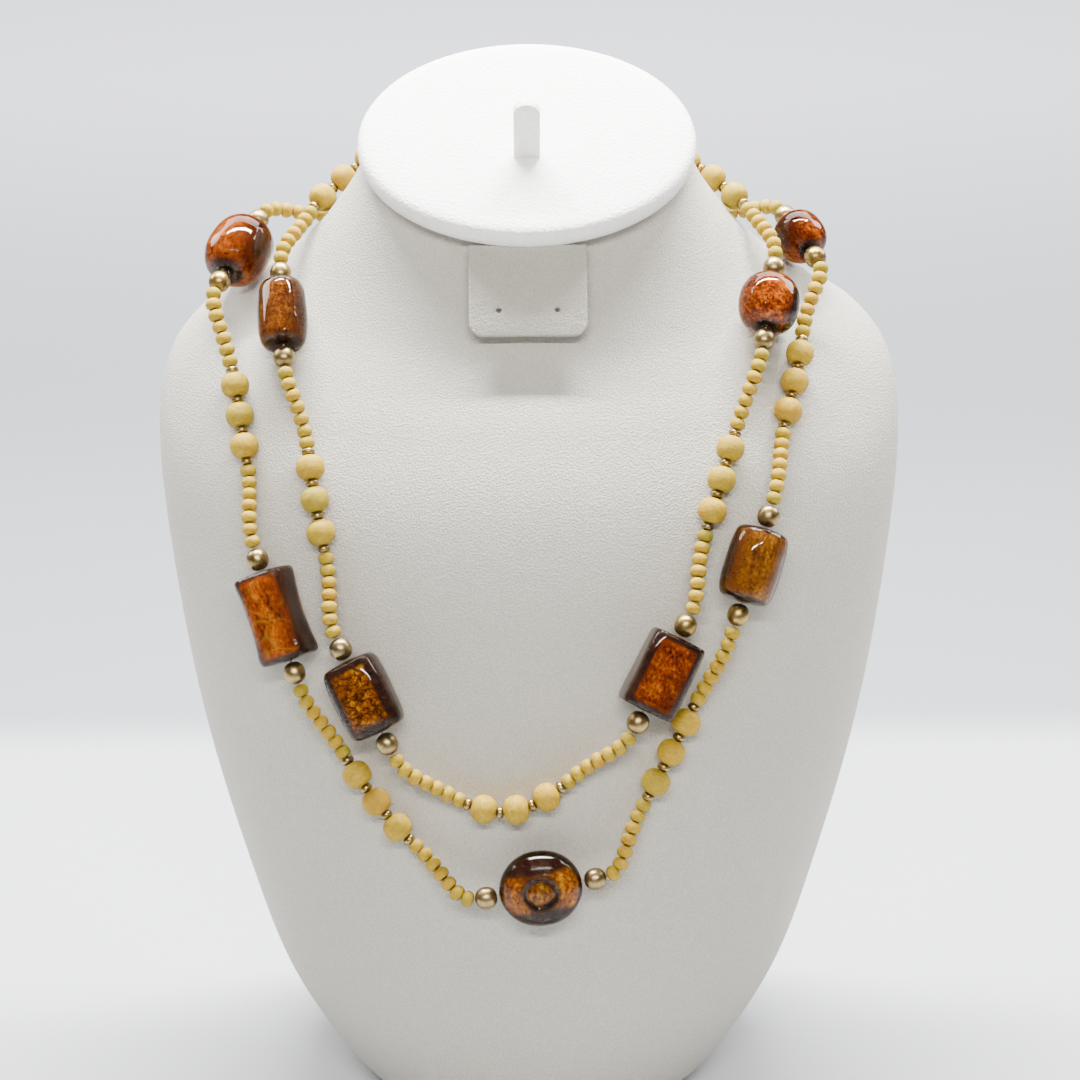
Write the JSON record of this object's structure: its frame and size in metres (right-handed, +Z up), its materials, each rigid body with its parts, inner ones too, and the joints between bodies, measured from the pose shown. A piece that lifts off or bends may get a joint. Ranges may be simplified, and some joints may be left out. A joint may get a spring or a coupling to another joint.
{
  "type": "beaded necklace on a neck bust",
  "caption": "Long string of amber foil glass, cream bone and antique metal beads, worn in two rounds on a white leatherette neck bust with a padded top and an earring card.",
  "frame": {"origin": "a point on the flat underside of the bust, midway between its sides", "axes": "+Z up, the chest faces -Y, +X to the right of someone facing the chest"},
  "size_m": [0.197, 0.135, 0.2661],
  "materials": {
    "white_leatherette": "fine grained white leatherette",
    "amber_glass": "clear dark amber glass over copper and gold foil",
    "antique_metal": "tarnished antique gold with dark hollows",
    "cream_bone": "matte cream to tan bone with fine grain; the small metal spacers between the larger beads share this slot"
  },
  "bodies": {
    "root": {"bead_run_01": "cream_bone", "bead_run_02": "cream_bone", "bead_run_03": "cream_bone", "bead_run_04": "cream_bone", "bead_run_05": "cream_bone", "bead_run_06": "cream_bone", "bead_run_07": "cream_bone", "bead_run_08": "cream_bone", "bead_run_09": "cream_bone", "bead_run_10": "cream_bone", "bead_run_11": "cream_bone", "bust_body": "white_leatherette", "earring_flap": "white_leatherette", "glass_back_left": "amber_glass", "glass_back_right": "amber_glass", "glass_bottom_disc": "amber_glass", "glass_left_flared": "amber_glass", "glass_left_lantern": "amber_glass", "glass_left_pillow": "amber_glass", "glass_left_tube": "amber_glass", "glass_right_barrel": "amber_glass", "glass_right_prism": "amber_glass", "glass_right_round": "amber_glass", "glass_right_shoulder": "amber_glass", "metal_ball_01": "antique_metal", "metal_ball_02": "antique_metal", "metal_ball_03": "antique_metal", "metal_ball_04": "antique_metal", "metal_ball_05": "antique_metal", "metal_ball_06": "antique_metal", "metal_ball_07": "antique_metal", "metal_ball_08": "antique_metal", "metal_ball_09": "antique_metal", "metal_ball_10": "antique_metal", "metal_ball_11": "antique_metal", "metal_ball_12": "antique_metal", "metal_ball_13": "antique_metal", "metal_ball_14": "antique_metal", "metal_ball_15": "antique_metal", "metal_ball_16": "antique_metal", "metal_ball_17": "antique_metal", "metal_ball_18": "antique_metal", "metal_ball_19": "antique_metal", "metal_ball_20": "antique_metal", "metal_ball_21": "antique_metal", "metal_ball_22": "antique_metal", "neck_band": "white_leatherette", "neck_pad": "white_leatherette", "ring_tab": "white_leatherette"}
  },
  "joints": []
}
